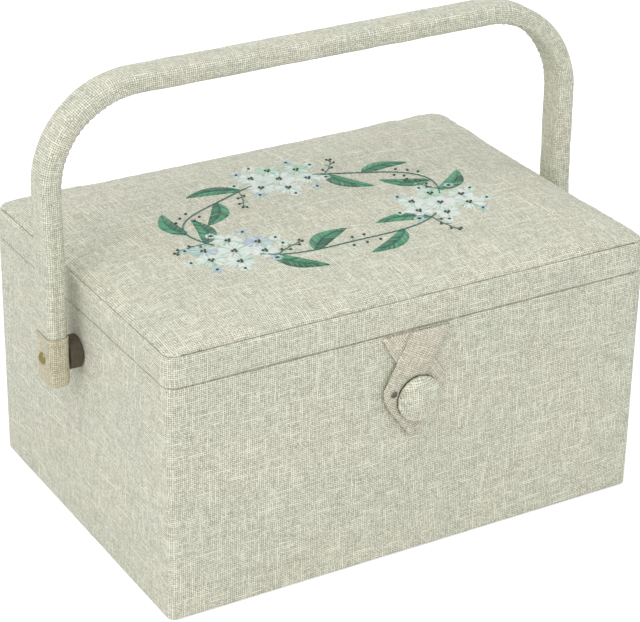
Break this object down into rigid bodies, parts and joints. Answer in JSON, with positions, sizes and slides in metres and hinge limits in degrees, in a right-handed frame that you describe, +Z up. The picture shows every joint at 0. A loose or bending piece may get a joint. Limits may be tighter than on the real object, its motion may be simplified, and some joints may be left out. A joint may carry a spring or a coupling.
{
  "type": "sewing box",
  "caption": "Linen-covered sewing box with a padded hinged lid, an arched carrying handle on side rivets, a crossed loop that closes over a covered button, and a lift-out tray.",
  "frame": {"origin": "centre of the underside of the box body, on the surface that it stands on", "axes": "+X to the right along the long side, +Y from the button side to the hinge, +Z up"},
  "size_m": [0.3692, 0.2428, 0.2875],
  "materials": {
    "linen": "matte",
    "handle_linen": "matte",
    "greyboard": "matte",
    "satin": "satin",
    "foam": "matte",
    "brass": "satin",
    "steel": "satin",
    "tray_plastic": "satin",
    "core_plastic": "matte",
    "spacer_plastic": "matte",
    "ribbon": "satin",
    "velvet": "matte",
    "embroidery": "satin"
  },
  "bodies": {
    "box": {"base_board": "greyboard", "front_board": "greyboard", "back_board": "greyboard", "left_board": "greyboard", "right_board": "greyboard", "body_cover": "linen", "base_sheet": "linen", "floor_pad": "satin", "lining_front": "satin", "lining_back": "satin", "lining_left": "satin", "lining_right": "satin", "rim_lining": "satin", "button_core": "core_plastic", "button_cover": "linen", "button_stem": "steel", "button_washer": "steel", "hinge_cloth_lower": "linen", "stay_left": "ribbon", "stay_right": "ribbon"},
    "lid": {"lid_board": "greyboard", "lid_frame_front": "greyboard", "lid_frame_back": "greyboard", "lid_frame_left": "greyboard", "lid_frame_right": "greyboard", "lid_band_cover": "linen", "lid_pad_card": "greyboard", "lid_pad": "foam", "lid_top_cover": "linen", "lid_lining": "satin", "lid_pocket": "satin", "pocket_elastic": "satin", "pincushion": "velvet", "hinge_cloth_upper": "linen"},
    "tab": {"tab_loop": "linen"},
    "pivots": {"pivot_rivet_left": "brass", "pivot_rivet_right": "brass", "pivot_spacer_left": "spacer_plastic", "pivot_spacer_right": "spacer_plastic", "pivot_washer_left": "steel", "pivot_washer_right": "steel"},
    "handle": {"handle_core": "core_plastic", "handle_pad": "foam", "handle_cover": "handle_linen", "handle_cap_left": "handle_linen", "handle_cap_right": "handle_linen"},
    "tray": {"tray": "tray_plastic", "tray_divider_left": "tray_plastic", "tray_divider_right": "tray_plastic"}
  },
  "joints": [
    {"name": "lid_hinge", "type": "hinge", "parent": "box", "child": "lid", "pos_m": [0, 0.1168, 0.14815], "axis": [-1, 0, 0], "range_deg": [0, 92], "deforming": ["stay_left", "stay_right", "tab_loop"]},
    {"name": "rivet_turn", "type": "hinge", "parent": "box", "child": "pivots", "pos_m": [0, 0, 0.121], "axis": [-1, 0, 0], "range_deg": [0, 110.4]},
    {"name": "handle_swing", "type": "hinge", "parent": "pivots", "child": "handle", "pos_m": [0, 0, 0.121], "axis": [-1, 0, 0], "range_deg": [-110, 0]},
    {"name": "tab_flap", "type": "hinge", "parent": "lid", "child": "tab", "pos_m": [0, -0.1163, 0.1471], "axis": [-1, 0, 0], "range_deg": [0, 90]},
    {"name": "tray_lift", "type": "slide", "parent": "box", "child": "tray", "axis": [0, 0, 1], "range_m": [0, 0.06]}
  ],
  "couplings": [
    {"joint": "rivet_turn", "follows": "lid_hinge", "ratio": 1.2},
    {"joint": "tray_lift", "follows": "lid_hinge", "m_per_rad": 0.0373}
  ]
}
